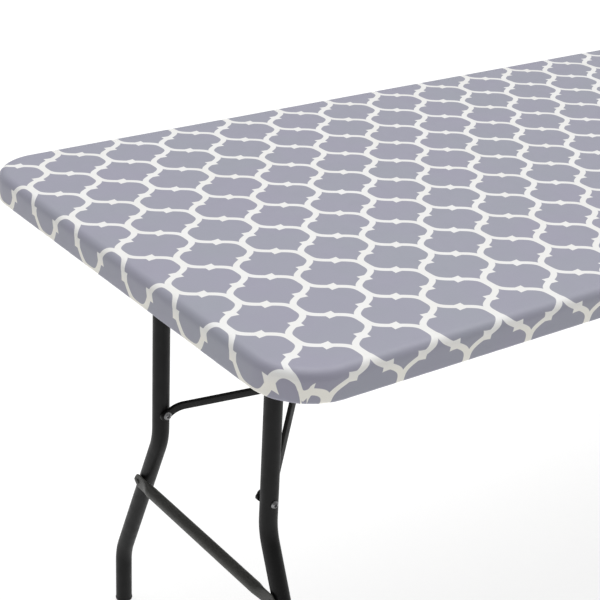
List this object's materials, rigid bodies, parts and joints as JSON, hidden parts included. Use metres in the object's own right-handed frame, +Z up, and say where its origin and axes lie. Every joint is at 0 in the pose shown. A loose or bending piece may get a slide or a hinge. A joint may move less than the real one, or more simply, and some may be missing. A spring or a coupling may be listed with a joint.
{
  "type": "fitted tablecloth on a folding table",
  "caption": "Fitted elastic-edged vinyl cloth with a trellis print, stretched over a long folding table on bent-tube folding leg frames.",
  "frame": {"origin": "on the floor under the middle of the table", "axes": "+X along the table, +Y across it, +Z up"},
  "size_m": [1.8334, 0.7664, 0.737],
  "materials": {
    "printed_vinyl": "flannel-backed vinyl, satin, white trellis print on blue-grey",
    "flannel_backing": "brushed polyester flannel, off-white",
    "elastic": "covered elastic cord",
    "moulded_resin": "blow-moulded polyethylene, fine pebble grain",
    "black_powder_coat": "black powder coat, semi-matt",
    "grey_powder_coat": "dark grey powder coat, semi-matt",
    "zinc_fastener": "zinc-plated steel",
    "black_plastic": "black polyethylene"
  },
  "bodies": {
    "table_top": {"tabletop_board": "moulded_resin", "flannel_backing": "flannel_backing", "printed_vinyl_cover": "printed_vinyl", "hem_casing": "printed_vinyl", "hem_elastic": "elastic", "side_rail_near": "black_powder_coat", "rail_screw_near_1": "zinc_fastener", "rail_screw_near_2": "zinc_fastener", "rail_screw_near_3": "zinc_fastener", "rail_screw_near_4": "zinc_fastener", "side_rail_far": "black_powder_coat", "rail_screw_far_1": "zinc_fastener", "rail_screw_far_2": "zinc_fastener", "rail_screw_far_3": "zinc_fastener", "rail_screw_far_4": "zinc_fastener", "pivot_bush_left_near": "black_plastic", "pivot_bush_left_far": "black_plastic", "link_bracket_left": "black_powder_coat", "link_pin_left": "zinc_fastener", "bracket_screw_left_near": "zinc_fastener", "bracket_screw_left_far": "zinc_fastener", "pivot_bush_right_near": "black_plastic", "pivot_bush_right_far": "black_plastic", "link_bracket_right": "black_powder_coat", "link_pin_right": "zinc_fastener", "bracket_screw_right_near": "zinc_fastener", "bracket_screw_right_far": "zinc_fastener"},
    "legs_left": {"pivot_tube_left": "black_powder_coat", "leg_left_near": "black_powder_coat", "floor_plug_left_near": "black_plastic", "brace_bolt_left_near": "zinc_fastener", "leg_left_far": "black_powder_coat", "floor_plug_left_far": "black_plastic", "brace_bolt_left_far": "zinc_fastener", "stretcher_left": "grey_powder_coat"},
    "brace_left": {"brace_arm_left_near": "black_powder_coat", "knee_rivet_left_near": "zinc_fastener", "brace_arm_left_far": "black_powder_coat", "knee_rivet_left_far": "zinc_fastener"},
    "link_left": {"brace_link_left": "black_powder_coat", "knee_spacer_left_near": "black_powder_coat", "knee_spacer_left_far": "black_powder_coat"},
    "legs_right": {"pivot_tube_right": "black_powder_coat", "leg_right_near": "black_powder_coat", "floor_plug_right_near": "black_plastic", "brace_bolt_right_near": "zinc_fastener", "leg_right_far": "black_powder_coat", "floor_plug_right_far": "black_plastic", "brace_bolt_right_far": "zinc_fastener", "stretcher_right": "grey_powder_coat"},
    "brace_right": {"brace_arm_right_near": "black_powder_coat", "knee_rivet_right_near": "zinc_fastener", "brace_arm_right_far": "black_powder_coat", "knee_rivet_right_far": "zinc_fastener"},
    "link_right": {"brace_link_right": "black_powder_coat", "knee_spacer_right_near": "black_powder_coat", "knee_spacer_right_far": "black_powder_coat"}
  },
  "joints": [
    {"name": "leg_fold_left", "type": "hinge", "parent": "table_top", "child": "legs_left", "pos_m": [-0.7614, 0, 0.6875], "axis": [0, -1, 0], "range_deg": [0, 90]},
    {"name": "brace_swing_left", "type": "hinge", "parent": "legs_left", "child": "brace_left", "pos_m": [-0.7614, 0, 0.404], "axis": [0, -1, 0], "range_deg": [-117.5, 0]},
    {"name": "link_swing_left", "type": "hinge", "parent": "table_top", "child": "link_left", "pos_m": [-0.205, 0, 0.6875], "axis": [0, -1, 0], "range_deg": [0, 153.5]},
    {"name": "leg_fold_right", "type": "hinge", "parent": "table_top", "child": "legs_right", "pos_m": [0.7614, 0, 0.6875], "axis": [0, 1, 0], "range_deg": [0, 90]},
    {"name": "brace_swing_right", "type": "hinge", "parent": "legs_right", "child": "brace_right", "pos_m": [0.7614, 0, 0.404], "axis": [0, 1, 0], "range_deg": [-117.5, 0]},
    {"name": "link_swing_right", "type": "hinge", "parent": "table_top", "child": "link_right", "pos_m": [0.205, 0, 0.6875], "axis": [0, 1, 0], "range_deg": [0, 153.5]}
  ],
  "couplings": [
    {"joint": "brace_swing_left", "follows": "leg_fold_left", "ratio": -1.3},
    {"joint": "link_swing_left", "follows": "leg_fold_left", "ratio": 1.7},
    {"joint": "brace_swing_right", "follows": "leg_fold_right", "ratio": -1.3},
    {"joint": "link_swing_right", "follows": "leg_fold_right", "ratio": 1.7}
  ]
}
